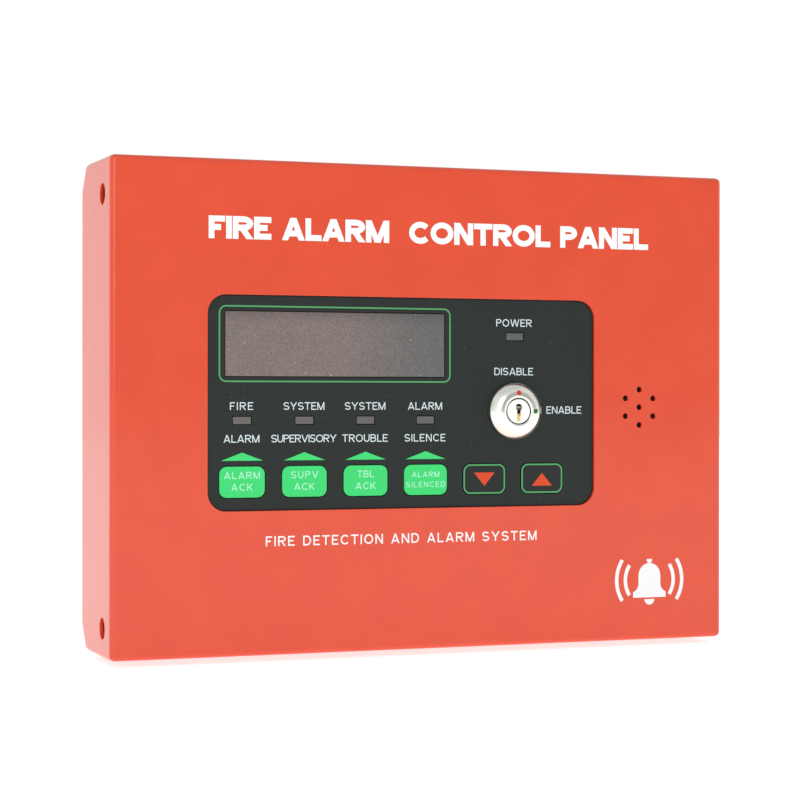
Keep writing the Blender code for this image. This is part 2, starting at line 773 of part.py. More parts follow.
def make_board_screws():
    head = GAP + BOARD_SCREW_HEAD_HEIGHT
    profile = [
        (0, head),
        (BOARD_SCREW_HEAD_RADIUS * SCREW_HEAD_TOP, head),
        (BOARD_SCREW_HEAD_RADIUS, GAP + BOARD_SCREW_HEAD_HEIGHT * SCREW_HEAD_EDGE),
        (BOARD_SCREW_HEAD_RADIUS, GAP),
        (BOARD_SCREW_RADIUS, GAP),
        (BOARD_SCREW_RADIUS, -BOARD_SCREW_LENGTH),
        (0, -BOARD_SCREW_LENGTH),
    ]
    for i, (x, z) in enumerate(boss_places()):
        turned(f"board_screw_{i + 1}", profile, (x, BOARD_BACK, z), "back", ZINC, steps=12)


def make_terminals():
    """Wire terminals on the back of the board: entries below, and screws that face the wall."""
    width = TERMINAL_WAYS * TERMINAL_PITCH
    back = BEHIND_BOARD + TERMINAL_HEIGHT
    bottom = BOARD_BOTTOM + TERMINAL_FROM_BOTTOM
    middle = bottom + TERMINAL_LENGTH / 2
    entry_depth = BEHIND_BOARD + TERMINAL_ENTRY
    for k in range(2):
        x = BOARD_LEFT + TERMINAL_FROM_LEFT + k * TERMINAL_SPACING
        terminal = part(
            f"terminal_block_{k + 1}",
            block(x, middle, width, TERMINAL_LENGTH, BEHIND_BOARD, back),
            TERMINAL_GREEN,
        )
        ways = [x + (i - (TERMINAL_WAYS - 1) / 2) * TERMINAL_PITCH for i in range(TERMINAL_WAYS)]
        half = TERMINAL_ENTRY / 2
        entries = [
            block(w, bottom, TERMINAL_ENTRY, 8, entry_depth - half, entry_depth + half)
            for w in ways
        ]
        screws = [drum(w, middle, TERMINAL_SCREW_RADIUS, back - 3, back + 1, 10) for w in ways]
        cut(terminal, *entries, *screws)


def make_board_parts():
    x, z = WINDOW_X + CHIP_FROM_MIDDLE, WINDOW_Z + CHIP_RISE
    back = BEHIND_BOARD + CHIP_THICKNESS
    chip = block(x, z, CHIP_SIDE, CHIP_SIDE, BEHIND_BOARD, back, 0.6, 1)
    part("controller_chip", chip, BLACK_PLASTIC)
    rim = CAPACITOR_RADIUS
    groove_start, groove_middle, groove_end = CAPACITOR_GROOVE
    profile = [
        (0, CAPACITOR_HEIGHT),
        (rim - CAPACITOR_CHAMFER, CAPACITOR_HEIGHT),
        (rim, CAPACITOR_HEIGHT - CAPACITOR_CHAMFER),
        (rim, groove_end),
        (rim - CAPACITOR_GROOVE_DEPTH, groove_middle),
        (rim, groove_start),
        (rim, 0),
        (0, 0),
    ]
    x, z = WINDOW_X + CAPACITOR_FROM_MIDDLE, WINDOW_Z + CAPACITOR_RISE
    origin = (x, BEHIND_BOARD, z)
    turned("capacitor", profile, origin, "back", BLACK_PLASTIC, steps=20)


# ---- Key switch ----


def dome(inner, top, steps=8):
    """Points down the bezel's domed face, which steepens from the rim of its bore to its edge."""
    shares = [i / steps for i in range(steps + 1)]
    return [
        (inner + (BEZEL_RADIUS - inner) * share, top - BEZEL_FALL * share**BEZEL_FALL_POWER)
        for share in shares
    ]


def make_lock():
    origin = (LOCK_X, 0, LOCK_Z)
    face = BEZEL_RISE - OVERLAY_DEPTH
    seat = GAP - OVERLAY_DEPTH
    profile = [
        (BARREL_BORE_RADIUS, face - BORE_CHAMFER),
        *dome(BARREL_BORE_RADIUS + BORE_CHAMFER, face),
        (BEZEL_RADIUS, seat),
        (BARREL_RADIUS, seat),
        (BARREL_RADIUS, -BARREL_END),
        (BARREL_BORE_RADIUS, -BARREL_END),
    ]
    turned("lock_barrel", profile, origin, "front", NICKEL, bored=True)

    plug_face = face - PLUG_SINK
    profile = [
        (0, plug_face),
        (PLUG_RADIUS - PLUG_CHAMFER, plug_face),
        (PLUG_RADIUS, plug_face - PLUG_CHAMFER),
        (PLUG_RADIUS, -BARREL_END),
        (0, -BARREL_END),
    ]
    plug = turned("lock_plug", profile, origin, "front", NICKEL)
    join(
        plug,
        block(LOCK_X, LOCK_Z, TANG_WIDTH, TANG_HEIGHT, BARREL_END - 1, BARREL_END + TANG_LENGTH),
    )
    front, end = -plug_face - 1, KEYWAY_LENGTH
    middle = LOCK_Z + (KEYWAY_TOP + KEYWAY_BOTTOM) / 2
    cut(plug, block(LOCK_X, middle, KEYWAY_WIDTH, KEYWAY_TOP - KEYWAY_BOTTOM, front, end))
    head = LOCK_Z + KEYWAY_TOP - KEYWAY_HEAD_HEIGHT / 2
    cut(plug, block(LOCK_X, head, KEYWAY_HEAD_WIDTH, KEYWAY_HEAD_HEIGHT, front, end - 2))

    make_lock_fixings()
    make_lock_switch()


def make_lock_fixings():
    front = BEHIND_PLATE
    back = front + LOCK_WASHER_THICKNESS
    rim = BARREL_RADIUS + LOCK_WASHER_RIM
    profile = [
        (LOCK_HOLE_RADIUS, -front),
        (rim, -front),
        (rim, -back),
        (LOCK_HOLE_RADIUS, -back),
    ]
    turned("lock_washer", profile, (LOCK_X, 0, LOCK_Z), "front", ZINC, bored=True)
    front = back + GAP
    back = front + LOCK_NUT_THICKNESS
    across = 2 * (BARREL_RADIUS + LOCK_NUT_WALL)
    nut = part("lock_nut", hexagon(LOCK_X, LOCK_Z, across, front, back), ZINC)
    cut(nut, drum(LOCK_X, LOCK_Z, LOCK_HOLE_RADIUS, front - 1, back + 1))


def make_lock_switch():
    """The contact block behind the barrel, and the rotor in it that the plug's tang turns."""
    side = 2 * (ROTOR_RADIUS + GAP + SWITCH_WALL)
    body = block(LOCK_X, LOCK_Z, side, side, SWITCH_FRONT, SWITCH_BACK, 3.0, 4)
    switch = part("contact_block", body, BLACK_PLASTIC)
    pocket_end = SWITCH_BACK - SWITCH_FLOOR
    cut(switch, drum(LOCK_X, LOCK_Z, ROTOR_RADIUS + GAP, SWITCH_FRONT - 1, pocket_end))
    lugs = [
        block(x, LOCK_Z, LUG_THICKNESS, LUG_WIDTH, SWITCH_BACK - 0.5, SWITCH_BACK + LUG_LENGTH)
        for x in (LOCK_X - LUG_SPACING / 2, LOCK_X + LUG_SPACING / 2)
    ]
    join(switch, *lugs)

    rotor_front = SWITCH_FRONT + GAP
    rotor_back = pocket_end - GAP
    body = drum(LOCK_X, LOCK_Z, ROTOR_RADIUS, rotor_front, rotor_back)
    rotor = part("contact_rotor", body, WHITE_PLASTIC, (LOCK_X, rotor_front, LOCK_Z))
    slot_end = BARREL_END + TANG_LENGTH + GAP
    width, height = TANG_WIDTH + 2 * GAP, TANG_HEIGHT + 2 * GAP
    cut(rotor, block(LOCK_X, LOCK_Z, width, height, rotor_front - 1, slot_end))


# ---- Sounder and leads ----


def make_sounder():
    front = COVER_SHEET + GAP
    back = front + SOUNDER_HEIGHT
    recess = SOUNDER_RADIUS - SOUNDER_RIM + SOUNDER_STEP
    profile = [
        (0, -front - SOUNDER_RECESS),
        (recess, -front - SOUNDER_RECESS),
        (recess, -front),
        (SOUNDER_RADIUS, -front),
        (SOUNDER_RADIUS, -back + SOUNDER_CHAMFER),
        (SOUNDER_RADIUS - SOUNDER_CHAMFER, -back),
        (0, -back),
    ]
    turned("sounder", profile, (SOUNDER_X, 0, SOUNDER_Z), "front", BLACK_PLASTIC, steps=28)


def smooth_route(route, share=4):
    """Points along a smooth curve through the route's own points."""
    ends = [route[0], *route, route[-1]]
    points = []
    for i in range(1, len(ends) - 2):
        a, b, c, d = (Vector(p) for p in ends[i - 1 : i + 3])
        for k in range(share):
            t = k / share
            points.append(
                0.5
                * (
                    2 * b
                    + (c - a) * t
                    + (2 * a - 5 * b + 4 * c - d) * t**2
                    + (3 * b - 3 * c + d - a) * t**3
                )
            )
    return [*points, Vector(route[-1])]


def lead(name, route, material):
    """A lead along a route of (x, depth, z) points."""
    curve = bpy.data.curves.new(name, "CURVE")
    curve.dimensions = "3D"
    curve.bevel_depth = LEAD_RADIUS * MM
    curve.bevel_resolution = 2
    curve.use_fill_caps = True
    curve.materials.append(material)
    points = smooth_route(route)
    spline = curve.splines.new("POLY")
    spline.points.add(len(points) - 1)
    for point, where in zip(spline.points, points):
        point.co = (*place(*where), 1.0)
    PARTS.objects.link(bpy.data.objects.new(name, curve))


def make_leads():
    lug_end = SWITCH_BACK + LUG_LENGTH + GAP
    solder = BEHIND_BOARD
    x, z = LOCK_X - LUG_SPACING / 2, LOCK_Z
    route = [
        (x, lug_end, z),
        (x, lug_end + 1.5, z),
        (x - 4, lug_end + 3.2, z - 1),
        (x - 11, lug_end + 1, z - 3),
        (x - 16, lug_end - 8, z - 6),
        (x - 17, solder + 6, z - 8),
        (x - 17, solder, z - 8),
    ]
    lead("key_switch_lead", route, RED_WIRE)
    x, z = SOUNDER_X, SOUNDER_Z
    start = COVER_SHEET + 2 * GAP + SOUNDER_HEIGHT
    end_x = WINDOW_X + BOARD_WIDTH / 2 - 7
    route = [
        (x, start, z),
        (x, start + 4, z),
        (x - 3, start + 9, z + 2),
        (x - 11, start + 13, z + 6),
        (end_x + 3, solder + 5, z + 9),
        (end_x, solder + 2.5, z + 10),
        (end_x, solder, z + 10),
    ]
    lead("sounder_lead", route, RED_WIRE)


clear_scene()
PARTS = new_collection("fire_alarm_annunciator")
CUTTERS = new_collection("cutters")

RED_PAINT = new_material("red_powder_coat", (0.76, 0.085, 0.03), 0.35)
BLACK_FILM = new_material("black_overlay_film", (0.03, 0.038, 0.036), 0.45)
GREEN_PRINT = new_material("green_print", (0.07, 0.75, 0.23), 0.45)
LAMP_GREY = new_material("lamp_grey", (0.16, 0.155, 0.15), 0.35)
LENS = new_material("display_lens_tint", (0.2, 0.19, 0.18), 0.2)
NICKEL = new_material("bright_nickel", (0.78, 0.77, 0.72), 0.15, 1.0)
ZINC = new_material("zinc_plated_steel", (0.6, 0.61, 0.62), 0.35, 1.0)
BLACK_METAL = new_material("blackened_steel", (0.05, 0.05, 0.055), 0.5, 0.8)
BLACK_PLASTIC = new_material("black_plastic", (0.02, 0.02, 0.022), 0.5)
WHITE_PLASTIC = new_material("white_plastic", (0.8, 0.8, 0.78), 0.45)
BOARD_GREEN = new_material("circuit_board_green", (0.02, 0.16, 0.06), 0.4)
TERMINAL_GREEN = new_material("terminal_green", (0.03, 0.3, 0.1), 0.45)
RUBBER = new_material("black_rubber", (0.02, 0.02, 0.02), 0.8)
RED_WIRE = new_material("red_wire", (0.6, 0.03, 0.02), 0.4)

make_cover()
make_box()
make_grommet()
make_cover_screws()
make_overlay()
make_plate()
make_plate_nuts()
make_keys()
make_lamps()
make_display()
make_board()
make_board_screws()
make_terminals()
make_board_parts()
make_lock()
make_sounder()
make_leads()
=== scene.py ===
"""The looks of a wall-mounted fire alarm panel: red coated steel round a black keypad.

Shapes are worked in millimetres as (x, depth, z). A depth counts back from the cover's front face, so depth 0
is that face. A piece is turned into metres, in the panel's own frame, when it is made.
"""

import json
import math

import bmesh
import bpy
from mathutils import Matrix, Vector

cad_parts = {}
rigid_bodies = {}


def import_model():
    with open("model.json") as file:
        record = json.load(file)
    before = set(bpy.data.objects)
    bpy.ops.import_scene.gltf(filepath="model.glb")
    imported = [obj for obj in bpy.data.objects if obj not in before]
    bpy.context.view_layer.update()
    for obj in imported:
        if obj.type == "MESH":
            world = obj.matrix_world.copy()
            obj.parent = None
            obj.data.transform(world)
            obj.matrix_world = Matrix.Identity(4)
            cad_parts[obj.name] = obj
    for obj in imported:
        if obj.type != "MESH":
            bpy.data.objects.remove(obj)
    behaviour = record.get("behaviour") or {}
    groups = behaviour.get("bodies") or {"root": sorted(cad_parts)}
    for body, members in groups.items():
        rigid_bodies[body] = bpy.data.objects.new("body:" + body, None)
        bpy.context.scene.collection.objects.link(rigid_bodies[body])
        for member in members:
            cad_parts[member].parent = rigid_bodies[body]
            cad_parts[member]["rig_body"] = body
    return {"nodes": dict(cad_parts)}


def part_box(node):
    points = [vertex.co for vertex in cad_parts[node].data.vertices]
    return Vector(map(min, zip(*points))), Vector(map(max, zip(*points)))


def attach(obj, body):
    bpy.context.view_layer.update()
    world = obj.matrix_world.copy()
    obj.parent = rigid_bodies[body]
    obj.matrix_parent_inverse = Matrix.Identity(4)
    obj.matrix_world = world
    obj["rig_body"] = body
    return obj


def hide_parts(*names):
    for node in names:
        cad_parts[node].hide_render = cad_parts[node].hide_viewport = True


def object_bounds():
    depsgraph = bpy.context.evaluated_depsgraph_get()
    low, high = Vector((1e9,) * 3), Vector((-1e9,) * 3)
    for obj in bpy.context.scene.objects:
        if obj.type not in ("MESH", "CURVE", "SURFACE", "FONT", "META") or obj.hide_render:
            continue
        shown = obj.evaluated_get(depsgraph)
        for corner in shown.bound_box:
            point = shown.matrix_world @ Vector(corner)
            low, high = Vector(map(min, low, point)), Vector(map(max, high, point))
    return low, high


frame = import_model()
CAD_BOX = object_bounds()

MM = 0.001
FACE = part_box("front_cover")[0].y
TO_METRES = Matrix.Translation((0, FACE, 0)) @ Matrix.Diagonal((MM, MM, MM, 1))
TO_MILLIMETRES = TO_METRES.inverted()

SHARP_DEGREES = 35.0
FOLD_DEGREES = 40.0
WELD = 0.004

# Printed ink stands this far out of what it is printed on, and reaches a little into it
INK = 0.04
INK_SINK = 0.02


def extent(node):
    """The lowest and highest corners of a node, in millimetres."""
    low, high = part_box(node)
    return TO_MILLIMETRES @ low, TO_MILLIMETRES @ high


def centre(node):
    """The x and z of a node's middle."""
    low, high = extent(node)
    return (low.x + high.x) / 2, (low.z + high.z) / 2


def across(node):
    """A node's width and height."""
    low, high = extent(node)
    return high.x - low.x, high.z - low.z


# ---- Node trees written as expressions ----


class Value:
    """An output in a node tree. Arithmetic on it adds Math nodes."""

    def __init__(self, wiring, socket):
        self.wiring = wiring
        self.socket = socket

    def maths(self, operation, *terms):
        return self.wiring.node("ShaderNodeMath", {"operation": operation}, dict(enumerate(terms)))

    def __add__(self, other):
        return self.maths("ADD", self, other)

    def __radd__(self, other):
        return self.maths("ADD", other, self)

    def __sub__(self, other):
        return self.maths("SUBTRACT", self, other)

    def __rsub__(self, other):
        return self.maths("SUBTRACT", other, self)

    def __mul__(self, other):
        return self.maths("MULTIPLY", self, other)

    def __rmul__(self, other):
        return self.maths("MULTIPLY", other, self)

    def __abs__(self):
        return self.maths("ABSOLUTE", self)

    def rise(self, start, end):
        """0 below start and 1 above end, with a smooth step between them. End may be the lower one."""
        settings = {"interpolation_type": "SMOOTHSTEP"}
        if end < start:
            return 1 - self.rise(end, start)
        return self.wiring.node("ShaderNodeMapRange", settings, {0: self, 1: start, 2: end})


class Wiring:
    """Adds nodes to a node tree."""

    def __init__(self, tree):
        self.tree = tree

    def node(self, kind, settings=None, sockets=None, output=0):
        """A new node with its settings, then its sockets' values or links, and one of its outputs."""
        made = self.tree.nodes.new(kind)
        for name, setting in (settings or {}).items():
            setattr(made, name, setting)
        for name, given in (sockets or {}).items():
            self.feed(made.inputs[name], given)
        return Value(self, made.outputs[output])

    def feed(self, socket, given):
        if isinstance(given, Value):
            self.tree.links.new(given.socket, socket)
        elif socket.type == "RGBA" and len(given) == 3:
            socket.default_value = (*given, 1.0)
        else:
            socket.default_value = given

    def mix(self, share, first, second):
        """A colour between two others."""
        return self.node(
            "ShaderNodeMix", {"data_type": "RGBA"}, {0: share, 6: first, 7: second}, output=2
        )

    def shade(self, colour, factor):
        """A colour made lighter or darker by a factor."""
        return self.node(
            "ShaderNodeMix",
            {"data_type": "RGBA", "blend_type": "MULTIPLY"},
            {0: 1.0, 6: colour, 7: self.grey(factor)},
            output=2,
        )

    def grey(self, factor):
        return self.node("ShaderNodeCombineColor", {}, {0: factor, 1: factor, 2: factor})


class Finish(Wiring):
    """A surface finish. What is the same all over it is set on the shader, and what varies is fed to it."""

    def __init__(self, name, **uniform):
        self.material = bpy.data.materials.new(name)
        self.material.use_nodes = True
        super().__init__(self.material.node_tree)
        self.shader = self.tree.nodes["Principled BSDF"]
        self.set(**uniform)
        place = self.node("ShaderNodeTexCoord", {}, {}, output="Object")
        self.place = self.node(
            "ShaderNodeVectorMath", {"operation": "SCALE"}, {0: place, "Scale": 1 / MM}
        )

    def stretched(self, x, y, z):
        """The place on the piece, with each direction scaled."""
        return self.node(
            "ShaderNodeVectorMath", {"operation": "MULTIPLY"}, {0: self.place, 1: (x, y, z)}
        )

    def grain(self, size, detail=2.0, roughness=0.5, place=None):
        """Noise from 0 to 1 whose blotches are about this many millimetres across."""
        return self.node(
            "ShaderNodeTexNoise",
            {"noise_dimensions": "3D"},
            {
                "Vector": place or self.place,
                "Scale": 1 / size,
                "Detail": detail,
                "Roughness": roughness,
            },
        )

    def specks(self, pitch, radius, share):
        """1 in small round specks, one in a share of cells of this pitch."""
        spots = {"Vector": self.place, "Scale": 1 / pitch}
        settings = {"voronoi_dimensions": "3D", "feature": "F1"}
        distance = self.node("ShaderNodeTexVoronoi", settings, spots, output="Distance")
        tint = self.node("ShaderNodeTexVoronoi", settings, spots, output="Color")
        chance = self.node("ShaderNodeSeparateColor", {}, {0: tint})
        size = radius / pitch
        return distance.rise(size, size * 0.5) * chance.rise(1 - share, 1 - share + 0.01)

    def along(self, axis):
        """The place along axis X, Y or Z, in millimetres."""
        return self.node("ShaderNodeSeparateXYZ", {}, {0: self.place}, output=axis)

    def set(self, **values):
        """Sets or feeds the shader's sockets, as in base_color for Base Color."""
        for name, value in values.items():
            socket = name.replace("_", " ").title().replace("Ior", "IOR")
            self.feed(self.shader.inputs[socket], value)

    def bump(self, height, depth):
        """Relief of this many millimetres between a height of 0 and 1."""
        normal = self.node(
            "ShaderNodeBump", {}, {"Strength": 1.0, "Distance": depth * MM, "Height": height}
        )
        self.set(normal=normal)


# ---- Finishes ----


def red_coat():
    """Glossy oven-baked coating: an even red with faint mottling, orange peel and a few grains of dust."""
    finish = Finish("red_coat", coat_weight=0.5, coat_roughness=0.1)
    mottle = finish.grain(17.0, 4.0, 0.6)
    fine = finish.grain(1.1, 3.0, 0.6)
    red = finish.mix(mottle.rise(0.3, 0.7), (0.690, 0.052, 0.0090), (0.720, 0.060, 0.0120))
    red = finish.shade(red, 0.955 + fine * 0.09)
    dust = finish.specks(2.8, 0.24, 0.16)
    finish.set(
        base_color=finish.mix(dust * 0.45, red, (0.85, 0.34, 0.22)),
        roughness=0.30 + fine * 0.10,
    )
    peel = finish.grain(1.6, 2.0) + dust * 0.6
    finish.bump(peel, 0.012)
    return finish.material


def overlay_film():
    """The keypad's matt printed polyester, with a fine pebble texture."""
    finish = Finish("overlay_film", specular_ior_level=0.3)
    pebble = finish.grain(0.32, 2.0, 0.6)
    cloud = finish.grain(30.0, 2.0)
    black = finish.mix(cloud, (0.0105, 0.0165, 0.0145), (0.0140, 0.0200, 0.0175))
    black = finish.shade(black, 0.6 + pebble * 0.8)
    dust = finish.specks(2.4, 0.20, 0.22)
    finish.set(
        base_color=finish.mix(dust * 0.6, black, (0.25, 0.26, 0.25)),
        roughness=0.40 + pebble * 0.15,
    )
    finish.bump(pebble, 0.010)
    return finish.material


def ink(name, colour, roughness=0.45):
    """Screen-printed ink: nearly even, a little thinner in places."""
    wear = 0.06
    finish = Finish(name, specular_ior_level=0.35)
    weave = finish.grain(0.45, 2.0, 0.6)
    cloud = finish.grain(9.0, 2.0)
    finish.set(
        base_color=finish.shade(colour, 1 - wear + weave * wear + cloud * wear * 0.5),
        roughness=roughness + weave * 0.1,
    )
    finish.bump(weave, 0.006)
    return finish.material


def lens_tint():
    """The smoked display window: a painted warm reflection at its left, neutral at its right, painted shade
    along its top, with a fine grain and dust.
    """
    low, high = extent("display_lens")
    finish = Finish("lens_tint", specular_ior_level=0.35)
    # Painted warm reflection: the grey turns warmer towards the window's left
    painted_warm_reflection = finish.along("X").rise(high.x * 1.1, low.x * 0.5)
    grey = finish.mix(painted_warm_reflection, (0.120, 0.122, 0.122), (0.194, 0.156, 0.144))
    cloud = finish.grain(12.0, 3.0)
    fine = finish.grain(0.5, 3.0, 0.7)
    grey = finish.shade(grey, 0.56 + cloud * 0.2 + fine.rise(0.3, 0.7) * 0.66)
    # Painted shade: the top 7 mm of the window are made up to 30 % darker
    painted_top_shade = finish.along("Z").rise(high.z - 7, high.z)
    grey = finish.shade(grey, 1 - painted_top_shade * 0.3)
    haze = finish.specks(1.1, 0.2, 0.20)
    tinted = finish.mix(haze * 0.5, grey, (0.32, 0.30, 0.29))
    dust = finish.specks(2.0, 0.27, 0.16)
    finish.set(
        base_color=finish.mix(dust * 0.9, tinted, (0.62, 0.62, 0.60)),
        roughness=0.34 + fine * 0.14,
    )
    finish.bump(fine, 0.006)
    return finish.material


def lamp_plastic():
    """Unlit diffused lamps, a smoky grey, with a painted warm reflection that grows towards the left."""
    finish = Finish("lamp_plastic", specular_ior_level=0.4)
    # Painted warm reflection: the grey turns warmer towards the left
    painted_warm_reflection = finish.along("X").rise(20.0, -70.0)
    grey = finish.mix(painted_warm_reflection, (0.100, 0.106, 0.101), (0.128, 0.116, 0.110))
    fine = finish.grain(0.4, 2.0, 0.6)
    finish.set(base_color=finish.shade(grey, 0.85 + fine * 0.3), roughness=0.35 + fine * 0.1)
    finish.bump(fine, 0.006)
    return finish.material


def bright_nickel():
    """Polished nickel plate with faint turning marks."""
    finish = Finish("nickel_plate", metallic=1.0)
    lines = finish.grain(0.5, 3.0, 0.6, finish.stretched(0.25, 1.0, 3.0))
    cloud = finish.grain(4.0, 3.0)
    finish.set(
        base_color=finish.shade((0.89, 0.89, 0.81), 0.93 + cloud * 0.09),
        roughness=0.10 + lines * 0.10,
    )
    finish.bump(lines, 0.002)
    return finish.material


def brass():
    """Bare brass that has gone duller in places."""
    finish = Finish("worn_brass", metallic=1.0)
    cloud = finish.grain(0.8, 3.0)
    finish.set(
        base_color=finish.mix(cloud, (0.62, 0.42, 0.14), (0.80, 0.60, 0.26)),
        roughness=0.22 + cloud * 0.15,
    )
    return finish.material


def zinc_plate():
    """Zinc-plated steel: grey, with a faint spangle and a yellowish cast in places."""
    finish = Finish("zinc_plate", metallic=1.0)
    spangle = finish.grain(0.9, 3.0, 0.65)
    cast = finish.grain(5.0, 2.0)
    colour = finish.mix(cast.rise(0.4, 0.7), (0.58, 0.60, 0.62), (0.64, 0.61, 0.52))
    finish.set(base_color=finish.shade(colour, 0.85 + spangle * 0.3), roughness=0.25 + spangle * 0.25)
    finish.bump(spangle, 0.006)
    return finish.material


def blackened_steel():
    """Black-oxide steel sheet with a fine mottle."""
    finish = Finish("blackened_steel_sheet", metallic=0.85)
    grain = finish.grain(0.7, 3.0)
    finish.set(
        base_color=finish.mix(grain, (0.035, 0.036, 0.040), (0.065, 0.066, 0.070)),
        roughness=0.38 + grain * 0.2,
    )
    finish.bump(grain, 0.008)
    return finish.material


def moulded(name, dark, light, roughness=0.45, texture=0.35, relief=0.012):
    """Moulded plastic or rubber with the fine texture of its mould."""
    finish = Finish(name)
    spark = finish.grain(texture, 2.0, 0.6)
    flow = finish.grain(14.0, 3.0)
    colour = finish.mix(flow, dark, light)
    finish.set(base_color=finish.shade(colour, 0.9 + spark * 0.2), roughness=roughness + spark * 0.15)
    finish.bump(spark, relief)
    return finish.material


def circuit_board():
    """Green solder mask over copper tracks that run in straight lines, with the board's weave under it."""
    finish = Finish("circuit_board", coat_weight=0.4, coat_roughness=0.2)
    brick = {"offset": 0.5, "offset_frequency": 2, "squash": 1.0}
    tracks = finish.node(
        "ShaderNodeTexBrick",
        brick,
        {
            "Vector": finish.node(
                "ShaderNodeCombineXYZ", {}, {0: finish.along("X"), 1: finish.along("Z")}
            ),
            "Scale": 1.0,
            "Mortar Size": 0.22,
            "Brick Width": 9.0,
            "Row Height": 1.6,
            "Bias": 0.0,
        },
        output="Fac",
    )
    region = finish.grain(14.0, 1.0).rise(0.48, 0.52)
    copper = tracks * region
    weave = finish.grain(0.6, 1.0)
    green = finish.mix(copper, (0.008, 0.085, 0.030), (0.020, 0.180, 0.062))
    finish.set(base_color=finish.shade(green, 0.88 + weave * 0.24), roughness=0.32 + weave * 0.12)
    finish.bump(copper + weave * 0.15, 0.03)
    return finish.material


def pale_floor():
    """A white sweep that only a contact shadow shows on."""
    finish = Finish(
        "pale_floor",
        specular_ior_level=0.0,
        emission_color=(1.0, 1.0, 1.0),
        emission_strength=0.70,
    )
    fine = finish.grain(40.0, 2.0)
    finish.set(base_color=finish.shade((0.80, 0.80, 0.80), 0.99 + fine * 0.01), roughness=0.9)
    return finish.material


RED_COAT = red_coat()
FILM = overlay_film()
GREEN_INK = ink("green_ink", (0.043, 0.670, 0.168))
LINE_INK = ink("green_line_ink", (0.080, 0.360, 0.130))
LEGEND_INK = ink("pale_blue_ink", (0.66, 0.78, 0.79))
KEY_INK = ink("pale_green_ink", (0.46, 0.90, 0.66))
WHITE_INK = ink("white_ink", (0.88, 0.91, 0.91))
ORANGE_INK = ink("orange_ink", (0.68, 0.062, 0.014))
RED_DOT = ink("red_dot_ink", (0.62, 0.030, 0.015), 0.3)
GREEN_DOT = ink("green_dot_ink", (0.010, 0.130, 0.030), 0.3)
NICKEL = bright_nickel()
BRASS = brass()

FINISHES = {
    "red_powder_coat": RED_COAT,
    "black_overlay_film": FILM,
    "green_print": GREEN_INK,
    "lamp_grey": lamp_plastic(),
    "display_lens_tint": lens_tint(),
    "bright_nickel": NICKEL,
    "zinc_plated_steel": zinc_plate(),
    "blackened_steel": blackened_steel(),
    "black_plastic": moulded("black_moulding", (0.016, 0.016, 0.018), (0.026, 0.026, 0.028)),
    "white_plastic": moulded("white_moulding", (0.74, 0.74, 0.70), (0.82, 0.82, 0.79)),
    "circuit_board_green": circuit_board(),
    "terminal_green": moulded("terminal_moulding", (0.020, 0.23, 0.075), (0.032, 0.31, 0.105)),
    "black_rubber": moulded("rubber", (0.014, 0.014, 0.015), (0.024, 0.024, 0.024), 0.65, 0.6, 0.02),
    "red_wire": moulded("wire_sleeve", (0.50, 0.022, 0.014), (0.60, 0.032, 0.020), 0.35, 1.2, 0.01),
}


# ---- Shapes ----


SLOTS = {node: cad.data.materials[0].name for node, cad in frame["nodes"].items()}
BODIES = {node: cad["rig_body"] for node, cad in frame["nodes"].items()}


def cad_shape(node):
    """A node's shape, with its points welded and its flat faces made whole."""
    mesh = frame["nodes"][node].data
    shape = bmesh.new()
    points = [shape.verts.new(TO_MILLIMETRES @ v.co) for v in mesh.vertices]
    for face in mesh.polygons:
        shape.faces.new([points[i] for i in face.vertices])
    bmesh.ops.remove_doubles(shape, verts=shape.verts, dist=WELD)
    bmesh.ops.dissolve_degenerate(shape, dist=WELD, edges=shape.edges)
    bmesh.ops.dissolve_limit(
        shape, angle_limit=math.radians(0.5), verts=shape.verts, edges=shape.edges
    )
    return shape


def soften(shape, width, segments=2):
    """Rounds the edges where faces meet at more than a shallow angle."""
    bmesh.ops.recalc_face_normals(shape, faces=shape.faces)
    limit = math.radians(FOLD_DEGREES)
    edges = [e for e in shape.edges if e.is_manifold and e.calc_face_angle() > limit]
    bmesh.ops.bevel(
        shape,
        geom=edges,
        offset=width,
        segments=segments,
        profile=0.5,
        affect="EDGES",
        clamp_overlap=False,
    )
    return shape


def combined(first, second, operation):
    """Two closed shapes as one: a UNION, or a DIFFERENCE that takes the second from the first."""
    made = []
    for shape in (first, second):
        mesh = bpy.data.meshes.new("working")
        shape.to_mesh(mesh)
        shape.free()
        made.append(bpy.data.objects.new("working", mesh))
        bpy.context.scene.collection.objects.link(made[-1])
    body, tool = made
    modifier = body.modifiers.new("working", "BOOLEAN")
    modifier.operation = operation
    modifier.object = tool
    bpy.context.view_layer.update()
    whole = body.evaluated_get(bpy.context.evaluated_depsgraph_get())
    result = bmesh.new()
    result.from_mesh(whole.to_mesh())
    whole.to_mesh_clear()
    for old in made:
        mesh = old.data
        bpy.data.objects.remove(old)
        bpy.data.meshes.remove(mesh)
    return result


def gather(shapes):
    """Several shapes that don't touch, as one."""
    together = bmesh.new()
    for shape in shapes:
        mesh = bpy.data.meshes.new("gathered")
        shape.to_mesh(mesh)
        shape.free()
        together.from_mesh(mesh)
        bpy.data.meshes.remove(mesh)
    return together


def prism(outline, front, back):
    """A flat outline of (x, z) points, given a thickness between two depths."""
    shape = bmesh.new()
    near = [shape.verts.new((x, front, z)) for x, z in outline]
    far = [shape.verts.new((x, back, z)) for x, z in outline]
    shape.faces.new(near)
    shape.faces.new(reversed(far))
    for i in range(len(outline)):
        k = (i + 1) % len(outline)
        shape.faces.new((near[i], far[i], far[k], near[k]))
    bmesh.ops.recalc_face_normals(shape, faces=shape.faces)
    return shape


